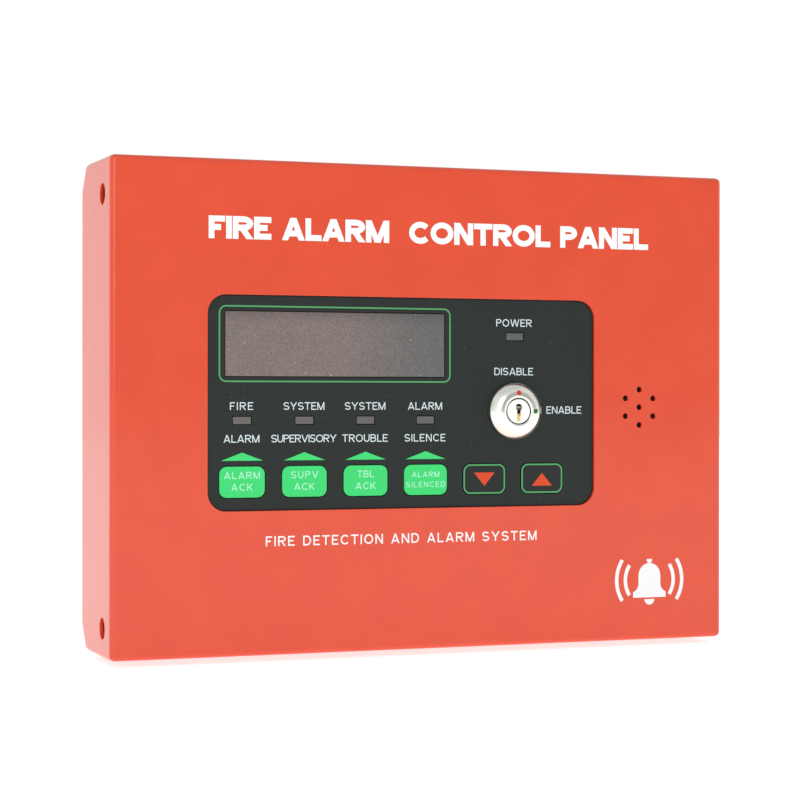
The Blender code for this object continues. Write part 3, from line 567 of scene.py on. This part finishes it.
def ring(outer, inner, front, back):
    """A flat ring between two outlines with as many points each."""
    shape = bmesh.new()
    loops = [
        [shape.verts.new((x, depth, z)) for x, z in outline]
        for outline, depth in ((outer, front), (inner, front), (inner, back), (outer, back))
    ]
    for i in range(len(outer)):
        k = (i + 1) % len(outer)
        for a, b in zip(loops, loops[1:] + loops[:1]):
            shape.faces.new((a[i], a[k], b[k], b[i]))
    bmesh.ops.recalc_face_normals(shape, faces=shape.faces)
    return shape


def arc(x, z, wide, high, start, end, steps=8):
    """Points along part of an ellipse, between two angles in degrees."""
    turns = [math.radians(start + (end - start) * i / steps) for i in range(steps + 1)]
    return [(x + wide * math.cos(a), z + high * math.sin(a)) for a in turns]


def rounded(x, z, width, height, radius, steps=8):
    """A rectangle's outline with round corners."""
    points = []
    for k, (right, up) in enumerate(((1, 1), (-1, 1), (-1, -1), (1, -1))):
        middle_x = x + right * (width / 2 - radius)
        middle_z = z + up * (height / 2 - radius)
        points += arc(middle_x, middle_z, radius, radius, 90 * k, 90 * k + 90, steps)
    return points


def rod(start, end, radius, sides):
    """A closed cylinder between two places."""
    first, last = Vector(start), Vector(end)
    along = last - first
    turn = along.to_track_quat("Z", "Y").to_matrix().to_4x4()
    shape = bmesh.new()
    bmesh.ops.create_cone(
        shape,
        cap_ends=True,
        segments=sides,
        radius1=radius,
        radius2=radius,
        depth=along.length,
        matrix=Matrix.Translation((first + last) / 2) @ turn,
    )
    return shape


def turned(profile, x, z, steps=96):
    """A solid turned round a front-to-back axis. The profile is a closed line of (radius, depth)."""
    shape = bmesh.new()
    loops = []
    for i in range(steps):
        angle = 2 * math.pi * i / steps
        loops.append(
            [
                shape.verts.new((x + r * math.cos(angle), depth, z + r * math.sin(angle)))
                for r, depth in profile
            ]
        )
    for i in range(steps):
        this, following = loops[i], loops[(i + 1) % steps]
        for k in range(len(profile)):
            m = (k + 1) % len(profile)
            shape.faces.new((this[k], this[m], following[m], following[k]))
    bmesh.ops.recalc_face_normals(shape, faces=shape.faces)
    return shape


def make(name, shape, finish, body="panel", stands_for=(), edge=0.0):
    """A piece of the panel or its print, which moves with a body."""
    if edge:
        soften(shape, edge)
    bmesh.ops.recalc_face_normals(shape, faces=shape.faces)
    bmesh.ops.transform(shape, matrix=TO_METRES, verts=shape.verts)
    mesh = bpy.data.meshes.new(name)
    shape.to_mesh(mesh)
    shape.free()
    mesh.shade_smooth()
    mesh.set_sharp_from_angle(angle=math.radians(SHARP_DEGREES))
    mesh.materials.append(finish)
    piece = bpy.data.objects.new(name, mesh)
    bpy.context.scene.collection.objects.link(piece)
    shading = piece.modifiers.new("even_shading", "WEIGHTED_NORMAL")
    shading.keep_sharp = True
    shading.weight = 100
    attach(piece, body)
    if stands_for:
        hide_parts(*stands_for)


def remake(node, name, edge, *cuts):
    """A CAD node's own shape, with cuts in it and soft edges."""
    shape = cad_shape(node)
    for tool in cuts:
        shape = combined(shape, tool, "DIFFERENCE")
    slot = SLOTS[node]
    make(name, shape, FINISHES[slot], BODIES[node], (node,), edge)


# ---- Lettering ----

STEM = [(0, 0), (0, 1)]
FAR_STEM = [(1, 0), (1, 1)]
UPPER_BOWL = [(0, 1), (0.5, 1), *arc(0.55, 0.75, 0.45, 0.25, 90, -90), (0.5, 0.5), (0, 0.5)]

# Each letter's width as a share of its height, and its strokes as lines through points in a unit square
LETTERS = {
    "A": (0.92, [[(0, 0), (0.5, 1)], [(1, 0), (0.5, 1)], [(0.2, 0.24), (0.8, 0.24)]]),
    "B": (
        0.80,
        [
            STEM,
            [(0, 1), (0.45, 1), *arc(0.5, 0.76, 0.42, 0.24, 90, -90), (0.45, 0.52), (0, 0.52)],
            [(0, 0.52), (0.5, 0.52), *arc(0.55, 0.26, 0.45, 0.26, 90, -90), (0.5, 0), (0, 0)],
        ],
    ),
    "C": (0.88, [arc(0.56, 0.5, 0.56, 0.5, 42, 318, 18)]),
    "D": (0.84, [STEM, [(0, 1), (0.4, 1), *arc(0.45, 0.5, 0.55, 0.5, 90, -90, 12), (0.4, 0), (0, 0)]]),
    "E": (0.70, [STEM, [(0, 1), (1, 1)], [(0, 0.52), (0.92, 0.52)], [(0, 0), (1, 0)]]),
    "F": (0.66, [STEM, [(0, 1), (1, 1)], [(0, 0.5), (0.88, 0.5)]]),
    "I": (0.0, [STEM]),
    "K": (0.84, [STEM, [(0, 0.3), (0.95, 1)], [(0.32, 0.56), (1, 0)]]),
    "L": (0.66, [STEM, [(0, 0), (1, 0)]]),
    "M": (0.98, [STEM, FAR_STEM, [(0, 1), (0.5, 0)], [(1, 1), (0.5, 0)]]),
    "N": (0.82, [STEM, FAR_STEM, [(0, 1), (1, 0)]]),
    "O": (0.98, [arc(0.5, 0.5, 0.5, 0.5, -8, 188, 16), arc(0.5, 0.5, 0.5, 0.5, 172, 368, 16)]),
    "P": (0.76, [STEM, UPPER_BOWL]),
    "R": (0.82, [STEM, UPPER_BOWL, [(0.42, 0.5), (0.98, 0)]]),
    "S": (
        0.80,
        [
            [
                *arc(0.5, 0.75, 0.48, 0.25, 22, 270, 14),
                *arc(0.5, 0.25, 0.5, 0.25, 90, -158, 14)[1:],
            ]
        ],
    ),
    "T": (0.80, [[(0, 1), (1, 1)], [(0.5, 0), (0.5, 1)]]),
    "U": (0.80, [[(0, 1), *arc(0.5, 0.38, 0.5, 0.38, 180, 360, 12), (1, 1)]]),
    "V": (0.94, [[(0, 1), (0.5, 0)], [(1, 1), (0.5, 0)]]),
    "W": (1.34, [[(0, 1), (0.25, 0)], [(0.5, 1), (0.25, 0)], [(0.5, 1), (0.75, 0)], [(1, 1), (0.75, 0)]]),
    "Y": (0.92, [[(0, 1), (0.5, 0.42)], [(1, 1), (0.5, 0.42)], [(0.5, 0), (0.5, 0.46)]]),
}
SPACE = 0.42
letter_meshes = {}


def letter_width(letter, weight, stretch):
    return SPACE if letter == " " else max(LETTERS[letter][0] * stretch, weight)


def stroke_points(stroke, width, weight):
    """A stroke's points in a letter's own box. Ends at an edge of the box reach that edge."""
    points = [
        Vector((weight / 2 + x * (width - weight), weight / 2 + z * (1 - weight))) for x, z in stroke
    ]
    for end, neighbour in ((0, 1), (-1, -2)):
        x, z = stroke[end]
        level = abs(points[end].y - points[neighbour].y) < 1e-6
        if level and x in (0, 1):
            points[end].x = x * width
        if not level and z in (0, 1):
            points[end].y = float(z)
    return points


def stroke_outline(points, weight):
    """The outline of a stroke of this weight. A straight slanting stroke is cut level at its ends."""
    if len(points) == 2 and abs(points[0].y - points[1].y) > 1e-6:
        run = points[1] - points[0]
        half = Vector((weight / 2 * run.length / abs(run.y), 0))
        return [points[0] - half, points[1] - half, points[1] + half, points[0] + half]
    left, right = [], []
    for i, point in enumerate(points):
        into = (point - points[max(i - 1, 0)]).normalized()
        out_of = (points[min(i + 1, len(points) - 1)] - point).normalized()
        ahead = (into + out_of).normalized()
        side = Vector((-ahead.y, ahead.x))
        reach = weight / 2 / max(0.5, ahead.dot(into) or ahead.dot(out_of))
        left.append(point + side * reach)
        right.append(point - side * reach)
    return left + right[::-1]


def letter_mesh(letter, weight, stretch):
    """A letter one millimetre high and one thick."""
    key = (letter, weight, stretch)
    if key not in letter_meshes:
        width = letter_width(letter, weight, stretch)
        whole = None
        for stroke in LETTERS[letter][1]:
            shape = prism(stroke_outline(stroke_points(stroke, width, weight), weight), 0, 1)
            whole = combined(whole, shape, "UNION") if whole else shape
        mesh = bpy.data.meshes.new("letter")
        whole.to_mesh(mesh)
        whole.free()
        letter_meshes[key] = mesh
    return letter_meshes[key]


def words(text, x, z, height, width, weight, front=0.0, stretch=1.0):
    """A line of letters centred on x, with its foot at z, spread to this width. It stands out of a face."""
    drawn = [letter_width(letter, weight, stretch) * height for letter in text]
    spacing = (width - sum(drawn)) / (len(text) - 1)
    scale = Matrix.Diagonal((height, INK + INK_SINK, height, 1))
    line = bmesh.new()
    left = x - width / 2
    for letter, wide in zip(text, drawn):
        if letter != " ":
            mesh = letter_mesh(letter, weight, stretch).copy()
            mesh.transform(Matrix.Translation((left, front - INK, z)) @ scale)
            line.from_mesh(mesh)
            bpy.data.meshes.remove(mesh)
        left += wide + spacing
    return line


# ---- Steel, screws and grommet ----

RECESS_SPAN = 3.6
RECESS_SLOT = 0.75
RECESS_DEPTH = 1.1

def make_steelwork():
    remake("front_cover", "cover_pressing", 0.22)
    remake("wall_box", "box_pressing", 0.18)
    remake("cable_grommet", "cable_grommet_moulding", 0.3)


def make_screw_heads():
    """Pan heads with a cross recess."""
    for word, up in (("top", 1), ("bottom", -1)):
        for side in ("left", "right"):
            node = f"cover_screw_{word}_{side}"
            low, high = extent(node)
            x, depth = (low.x + high.x) / 2, (low.y + high.y) / 2
            head = high.z if up > 0 else low.z
            recess = []
            for angle in (45, 135):
                blade = bmesh.new()
                bmesh.ops.create_cube(blade, size=1.0)
                turn = Matrix.Rotation(math.radians(angle), 4, "Z")
                size = Matrix.Diagonal((RECESS_SPAN, RECESS_SLOT, 2 * RECESS_DEPTH, 1))
                place = Matrix.Translation((x, depth, head))
                bmesh.ops.transform(blade, matrix=place @ turn @ size, verts=blade.verts)
                recess.append(blade)
            remake(node, f"{node}_pan_head", 0.1, *recess)


# ---- Keypad ----


KEYS = ("alarm_ack", "supervisory_ack", "trouble_ack", "silence", "down", "up")
LAMPS = ("fire", "supervisory", "trouble", "silenced", "power")


def make_keypad():
    remake("keypad_overlay", "keypad_film", 0.08)
    for key in KEYS:
        remake(f"{key}_key", f"{key}_pad", 0.10)
    for lamp in LAMPS:
        remake(f"{lamp}_lamp", f"{lamp}_lamp_body", 0.12)
    remake("display_lens", "display_window", 0.08)


# ---- Key switch ----

TURN_GAP = 0.3
BEZEL_LIP = 1.5
BEZEL_EDGE = 0.25
BORE_CHAMFER = 0.5

# The bezel's face falls away by this much at its edge, more steeply towards the edge
BEZEL_FALL = 3.1
BEZEL_FALL_POWER = 2.5
DOME_STEPS = 28

PLUG_CHAMFER = 0.35
TANG_LENGTH = 4.5
TANG_WIDTH = 2.4
TANG_HEIGHT = 6.0

# Heights are from the plug's axis
KEYWAY_WIDTH = 1.5
KEYWAY_HEAD_RADIUS = 1.45
KEYWAY_HEAD_RISE = 1.5
KEYWAY_FOOT = -4.0
KEYWAY_DEPTH = 13.0
WAFER_FOOT = -4.6
WAFER_TOPS = (-1.9, -1.2, -2.4, -0.8)
WAFER_THICKNESS = 0.8
WAFER_PITCH = 1.6
FIRST_WAFER = 1.1


def bezel_measures():
    """The bezel's bore radius, its outer radius, and its face's and its seat's depths."""
    low, high = extent("lock_barrel")
    bore = across("lock_plug")[0] / 2 + TURN_GAP
    seat = extent("keypad_overlay")[0].y - TURN_GAP
    return bore, (high.x - low.x) / 2, low.y, seat


def dome_depth(radius):
    """The depth of the bezel's domed face at this radius."""
    bore, outer, face, _ = bezel_measures()
    start = bore + BORE_CHAMFER
    return face + BEZEL_FALL * ((radius - start) / (outer - start)) ** BEZEL_FALL_POWER


def make_bezel():
    x, z = centre("lock_barrel")
    bore, outer, face, seat = bezel_measures()
    end = extent("lock_barrel")[1].y
    barrel = outer - BEZEL_LIP
    start = bore + BORE_CHAMFER
    radii = [start + (outer - BEZEL_EDGE - start) * i / DOME_STEPS for i in range(DOME_STEPS + 1)]
    profile = [
        (bore, end),
        (bore, face + BORE_CHAMFER),
        (bore + BORE_CHAMFER * 0.15, face + BORE_CHAMFER * 0.55),
        (bore + BORE_CHAMFER * 0.55, face + BORE_CHAMFER * 0.15),
        *((r, dome_depth(r)) for r in radii),
        (outer - BEZEL_EDGE * 0.3, dome_depth(outer - BEZEL_EDGE * 0.3) + BEZEL_EDGE * 0.2),
        (outer, dome_depth(outer) + BEZEL_EDGE),
        (outer, seat),
        (barrel, seat),
        (barrel, end),
    ]
    make("key_switch_bezel", turned(profile, x, z), NICKEL, "panel", ("lock_barrel",))


def make_plug():
    """The plug, with a keyway that has a round head, and the brass wafers that show in it."""
    x, z = centre("lock_plug")
    low, high = extent("lock_plug")
    end = high.y - TANG_LENGTH
    shape = rod((x, low.y, z), (x, end, z), (high.x - low.x) / 2, 96)
    soften(shape, PLUG_CHAMFER, 3)
    tang = prism(rounded(x, z, TANG_WIDTH, TANG_HEIGHT, 0.3, 3), end - 1, high.y)
    shape = combined(shape, tang, "UNION")
    half = KEYWAY_WIDTH / 2
    keyway = [
        (x - half, z + KEYWAY_FOOT),
        (x + half, z + KEYWAY_FOOT),
        *arc(x, z + KEYWAY_HEAD_RISE, KEYWAY_HEAD_RADIUS, KEYWAY_HEAD_RADIUS, -58, 238, 16),
    ]
    shape = combined(shape, prism(keyway, low.y - 1, low.y + KEYWAY_DEPTH), "DIFFERENCE")
    body = BODIES["lock_plug"]
    make("key_switch_plug", shape, NICKEL, body, ("lock_plug",))
    wafers = []
    for i, top in enumerate(WAFER_TOPS):
        middle = z + (WAFER_FOOT + top) / 2
        front = low.y + FIRST_WAFER + WAFER_PITCH * i
        wafer = rounded(x, middle, KEYWAY_WIDTH + 0.6, top - WAFER_FOOT, 0.2, 3)
        wafers.append(prism(wafer, front, front + WAFER_THICKNESS))
    make("key_switch_wafers", gather(wafers), BRASS, body)


# ---- Print ----

FILM_FACE = extent("keypad_overlay")[0].y
PAD_FACE = extent("alarm_ack_key")[0].y

# A letter's weight is a share of its height
TITLE_WEIGHT = 0.262
SMALL_LINE_WEIGHT = 0.15
LEGEND_HEIGHT = 2.86
LEGEND_WEIGHT = 0.128
KEY_LEGEND_WEIGHT = 0.125

DISPLAY_OUTLINE_WIDTH = 92.2
DISPLAY_OUTLINE_HEIGHT = 28.4
DISPLAY_OUTLINE_RADIUS = 2.8
DISPLAY_OUTLINE_LINE = 0.56
KEY_OUTLINE_INSET = 0.05
KEY_OUTLINE_RADIUS = 2.75
KEY_OUTLINE_LINE = 0.6
WAVE_THICKNESS = 1.5

DOT_FROM_CENTRE = 7.1
DOT_RADIUS = 0.95
DOT_FRONT = -2 * INK
DOT_BACK = 0.3


def triangle(x, foot, tip, half_width, face):
    outline = [(x - half_width, foot), (x + half_width, foot), (x, tip)]
    return prism(outline, face - INK, face + INK_SINK)


def print_cover():
    title = words("FIRE ALARM  CONTROL PANEL", 1.9, 62.3, 8.4, 180.3, TITLE_WEIGHT, stretch=1.14)
    make("cover_title", title, WHITE_INK)
    small = words("FIRE DETECTION AND ALARM SYSTEM", -11.2, -51.4, 3.7, 110.0, SMALL_LINE_WEIGHT)
    make("cover_line", small, WHITE_INK)
    print_bell()


def print_bell():
    """A plain pictogram of a ringing bell."""
    x, z = 92.8, -69.0
    front, back = -INK, INK_SINK
    body = [
        (x - 7.2, z - 5.0),
        *arc(x - 8.4, z - 0.6, 3.6, 3.6, -70, -10, 4),
        *arc(x, z + 2.6, 4.8, 4.8, 180, 0, 14),
        *arc(x + 8.4, z - 0.6, 3.6, 3.6, 190, 250, 4),
        (x + 7.2, z - 5.0),
        (x + 7.2, z - 6.2),
        (x - 7.2, z - 6.2),
    ]
    shapes = [
        prism(body, front, back),
        prism(arc(x, z - 6.9, 2.2, 2.2, 180, 360, 10), front, back),
        prism(arc(x, z + 8.6, 1.2, 1.2, -200, 20, 12), front, back),
    ]
    for side in (0, 180):
        for radius in (10.6, 14.4):
            wave = arc(x, z + 0.8, radius, radius, side - 34, side + 34, 12)
            outline = stroke_outline([Vector(p) for p in wave], WAVE_THICKNESS)
            shapes.append(prism(outline, front, back))
    make("bell_mark", gather(shapes), WHITE_INK)


def print_outline(name, x, z, width, height, radius, line, face, body="panel"):
    outer = rounded(x, z, width, height, radius)
    inner = rounded(x, z, width - 2 * line, height - 2 * line, radius - line)
    make(name, ring(outer, inner, face - INK, face + INK_SINK), LINE_INK, body)


def legend(text, x, z, width):
    """A line of small letters on the film."""
    return words(text, x, z, LEGEND_HEIGHT, width, LEGEND_WEIGHT, FILM_FACE)


def print_keypad():
    x, z = centre("display_lens")
    print_outline(
        "display_outline",
        x,
        z,
        DISPLAY_OUTLINE_WIDTH,
        DISPLAY_OUTLINE_HEIGHT,
        DISPLAY_OUTLINE_RADIUS,
        DISPLAY_OUTLINE_LINE,
        FILM_FACE,
    )
    # The words above and below each lamp, with their widths
    above = (("FIRE", 8.9), ("SYSTEM", 16.1), ("SYSTEM", 16.3), ("ALARM", 14.0))
    below = (("ALARM", 13.8), ("SUPERVISORY", 25.7), ("TROUBLE", 18.3), ("SILENCE", 16.8))
    lines = []
    for row, rise in ((above, 3.9), (below, -8.2)):
        for lamp, (text, width) in zip(LAMPS, row):
            x, z = centre(f"{lamp}_lamp")
            lines.append(legend(text, x - 0.2, z + rise, width))
    x, z = centre("power_lamp")
    lines.append(legend("POWER", x - 0.3, z + 3.9, 15.0))
    x, z = centre("lock_barrel")
    lines.append(legend("DISABLE", x - 0.1, z + 13.9, 16.3))
    lines.append(legend("ENABLE", x + 21.3, z - 1.0, 15.0))
    make("keypad_legends", gather(lines), LEGEND_INK)
    arrows = []
    for key in KEYS[:4]:
        x, z = centre(f"{key}_key")
        arrows.append(triangle(x, z + 7.9, z + 10.9, 8.1, FILM_FACE))
    make("key_pointers", gather(arrows), GREEN_INK)


def print_keys():
    # Each line's text, its width, its height and where its foot is
    legends = (
        (("ALARM", 13.8, 2.6, 1.2), ("ACK", 8.3, 2.6, -3.2)),
        (("SUPV", 10.8, 2.6, 1.2), ("ACK", 8.1, 2.6, -3.2)),
        (("TBL", 6.8, 2.6, 1.2), ("ACK", 8.1, 2.6, -3.2)),
        (("ALARM", 11.2, 2.1, 1.0), ("SILENCED", 16.0, 2.1, -2.8)),
    )
    for key, lines in zip(KEYS, legends):
        x, z = centre(f"{key}_key")
        shapes = [
            words(text, x, z + rise, height, width, KEY_LEGEND_WEIGHT, PAD_FACE)
            for text, width, height, rise in lines
        ]
        make(f"{key}_legend", gather(shapes), KEY_INK, f"{key}_key")
    for key, foot, tip in (("down", 2.5, -2.7), ("up", -2.9, 2.1)):
        body = f"{key}_key"
        x, z = centre(body)
        make(f"{key}_arrow", triangle(x, z + foot, z + tip, 4.3, PAD_FACE), ORANGE_INK, body)
        width, height = (size - 2 * KEY_OUTLINE_INSET for size in across(body))
        print_outline(
            f"{key}_outline", x, z, width, height, KEY_OUTLINE_RADIUS, KEY_OUTLINE_LINE, PAD_FACE, body
        )


def print_bezel():
    """A red and a green dot that lie on the bezel's dome."""
    x, z = centre("lock_barrel")
    for name, turn, finish in (("red_dot", 90, RED_DOT), ("green_dot", 0, GREEN_DOT)):
        angle = math.radians(turn)
        middle_x = x + DOT_FROM_CENTRE * math.cos(angle)
        middle_z = z + DOT_FROM_CENTRE * math.sin(angle)
        dot = prism(arc(middle_x, middle_z, DOT_RADIUS, DOT_RADIUS, 0, 345, 23), 0, 1)
        for point in dot.verts:
            surface = dome_depth(math.hypot(point.co.x - x, point.co.z - z))
            point.co.y = surface + (DOT_BACK if point.co.y > 0.5 else DOT_FRONT)
        make(name, dot, finish)


# ---- Room, light and camera, in metres ----

FLOOR_REACH = 4.0
FLOOR_GAP = 0.0005
CAMERA_DISTANCE = 0.846

def make_floor():
    shape = bmesh.new()
    bmesh.ops.create_grid(shape, x_segments=1, y_segments=1, size=FLOOR_REACH)
    bmesh.ops.translate(shape, vec=(0, 0, CAD_BOX[0].z - FLOOR_GAP), verts=shape.verts)
    mesh = bpy.data.meshes.new("floor")
    shape.to_mesh(mesh)
    shape.free()
    mesh.materials.append(pale_floor())
    floor = bpy.data.objects.new("floor", mesh)
    bpy.context.scene.collection.objects.link(floor)


def make_world():
    """A white room with one duller wall, ahead and to the right, which the flat faces mirror, and a cool
    ceiling, which the upper bends mirror."""
    world = bpy.data.worlds.new("studio")
    world.use_nodes = True
    bpy.context.scene.world = world
    room = Wiring(world.node_tree)
    where = room.node("ShaderNodeTexCoord", {}, {}, output="Generated")
    x, y, z = (room.node("ShaderNodeSeparateXYZ", {}, {0: where}, output=axis) for axis in "XYZ")
    duller_wall = (x * 0.36 - y * 0.93).rise(0.72, 0.95)
    colour = room.mix(z.rise(0.0, 0.5), (1.10, 1.10, 1.10), (0.80, 0.80, 0.80))
    colour = room.mix(duller_wall, colour, (0.45, 0.45, 0.45))
    colour = room.mix(abs(x).rise(0.80, 0.95) * 0.4, colour, (0.42, 0.44, 0.48))
    colour = room.mix(z.rise(0.6, 0.9) * 0.4, colour, (0.40, 0.44, 0.52))
    seen = room.node("ShaderNodeLightPath", {}, {}, output="Is Camera Ray")
    background = world.node_tree.nodes["Background"]
    room.feed(background.inputs["Color"], room.mix(seen, colour, (1.0, 1.0, 1.0)))
    background.inputs["Strength"].default_value = 1.0


def make_light(name, place, aim, size, power):
    light = bpy.data.lights.new(name, "AREA")
    light.shape = "DISK"
    light.size = size
    light.energy = power
    lamp = bpy.data.objects.new(name, light)
    lamp.location = place
    lamp.rotation_euler = (Vector(aim) - Vector(place)).to_track_quat("-Z", "Y").to_euler()
    bpy.context.scene.collection.objects.link(lamp)


def make_camera():
    yaw, pitch, roll = math.radians(20.90), math.radians(-0.09), math.radians(0.06)
    aim = Vector((-0.0130, FACE, 0.0029))
    ahead = Vector((math.sin(yaw) * math.cos(pitch), math.cos(yaw) * math.cos(pitch), math.sin(pitch)))
    camera_data = bpy.data.cameras.new("camera")
    camera_data.lens = 100.41
    camera_data.sensor_width = 36.0
    camera = bpy.data.objects.new("camera", camera_data)
    camera.location = aim - ahead * CAMERA_DISTANCE
    turn = ahead.to_track_quat("-Z", "Y").to_matrix() @ Matrix.Rotation(roll, 3, "Z")
    camera.rotation_euler = turn.to_euler()
    bpy.context.scene.collection.objects.link(camera)
    bpy.context.scene.camera = camera


make_camera()
make_world()
make_light("key_light", (-0.45, -1.25, 0.45), (0, 0, 0), 0.9, 3.0)
make_light("lock_card", (0.455, -1.03, -0.01), (0.035, FACE, 0), 0.13, 0.05)
make_floor()
bpy.context.scene.view_settings.view_transform = "Standard"

for node, cad in frame["nodes"].items():
    cad.data.materials[0] = FINISHES[SLOTS[node]]

make_steelwork()
make_screw_heads()
make_keypad()
make_bezel()
make_plug()
print_cover()
print_keypad()
print_keys()
print_bezel()
